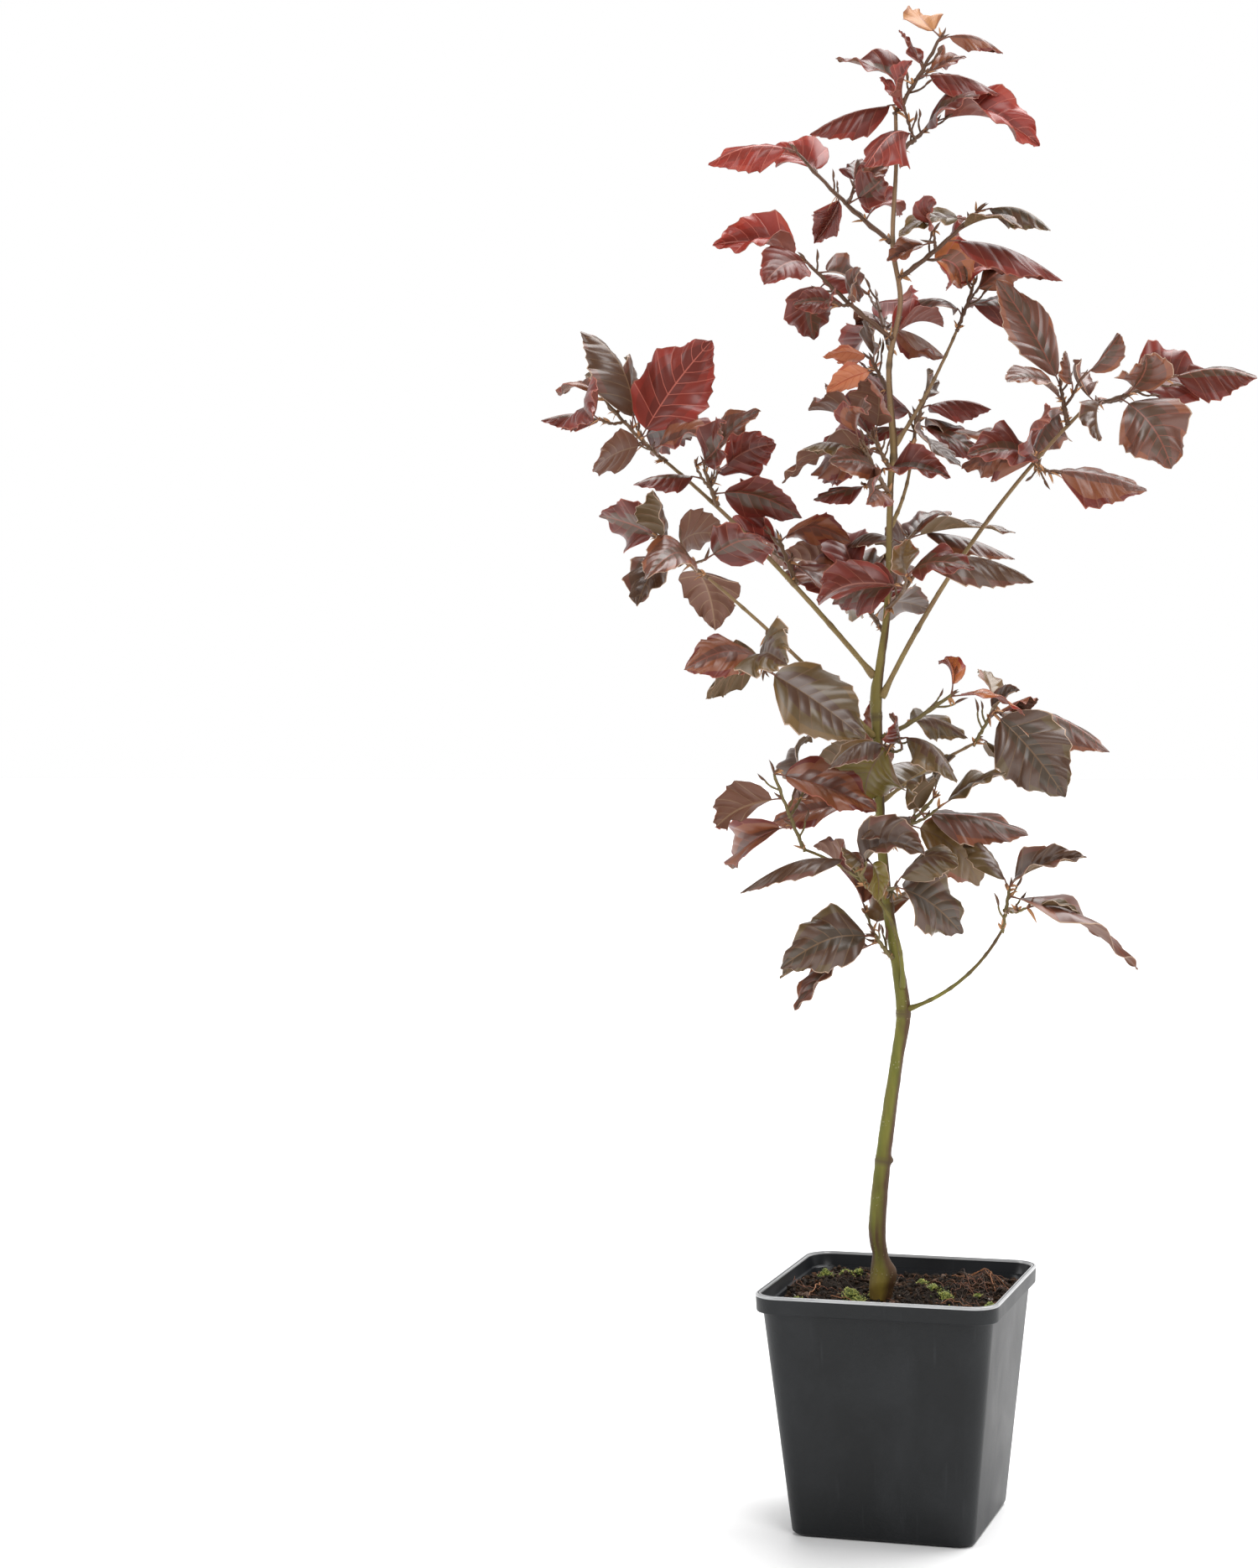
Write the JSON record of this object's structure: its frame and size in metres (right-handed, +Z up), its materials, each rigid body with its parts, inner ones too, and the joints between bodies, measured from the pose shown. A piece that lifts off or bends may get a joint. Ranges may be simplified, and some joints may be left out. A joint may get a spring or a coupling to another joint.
{
  "type": "potted copper beech sapling",
  "caption": "Young copper beech with a slim upright leader, spreading boughs and wavy wine-red leaves, standing in its square nursery pot.",
  "frame": {"origin": "middle of the pot's flat underside, on the surface that the pot stands on", "axes": "+Z up, the pot's sides along X and Y, its front towards -Y"},
  "size_m": [0.2665, 0.1539, 0.5604],
  "materials": {
    "pot": "fine-grained moulded polypropylene, matte",
    "soil": "moist peat with bark, fibres and a little moss, matte",
    "bark": "smooth young bark, satin",
    "leaves_top": "wine-red leaves, satin",
    "leaves_middle": "dark copper-brown leaves, satin",
    "leaves_low": "bronze to olive leaves, satin"
  },
  "bodies": {
    "root": {"pot": "pot", "soil": "soil", "trunk": "bark", "bough_left_high": "bark", "bough_left_low": "bark", "bough_right": "bark", "bough_right_top": "bark", "bough_right_foot": "bark", "bough_right_middle": "bark", "bough_left_foot": "bark", "bough_right_inner": "bark", "foliage_tip": "leaves_top", "foliage_top_right": "leaves_top", "foliage_top_left": "leaves_top", "foliage_upper_right": "leaves_top", "foliage_upper_left": "leaves_top", "foliage_right_top": "leaves_top", "foliage_right_spur": "leaves_top", "foliage_right_far": "leaves_top", "foliage_right_outer": "leaves_middle", "foliage_right_inner": "leaves_middle", "foliage_right_near": "leaves_middle", "foliage_front_middle": "leaves_middle", "foliage_left_far": "leaves_middle", "foliage_left_high": "leaves_middle", "foliage_left_inner": "leaves_middle", "foliage_left_low": "leaves_middle", "foliage_left_under": "leaves_middle", "foliage_inner_left": "leaves_middle", "foliage_young": "leaves_top", "foliage_right_middle": "leaves_low", "foliage_right_low": "leaves_low", "foliage_right_small": "leaves_low", "foliage_right_foot": "leaves_low", "foliage_left_end": "leaves_low", "foliage_left_foot": "leaves_low", "foliage_low": "leaves_low", "foliage_centre": "leaves_low", "foliage_centre_low": "leaves_low", "foliage_back_low": "leaves_low", "foliage_back_middle": "leaves_middle", "foliage_back_high": "leaves_top", "foliage_front_high": "leaves_middle"}
  },
  "joints": []
}
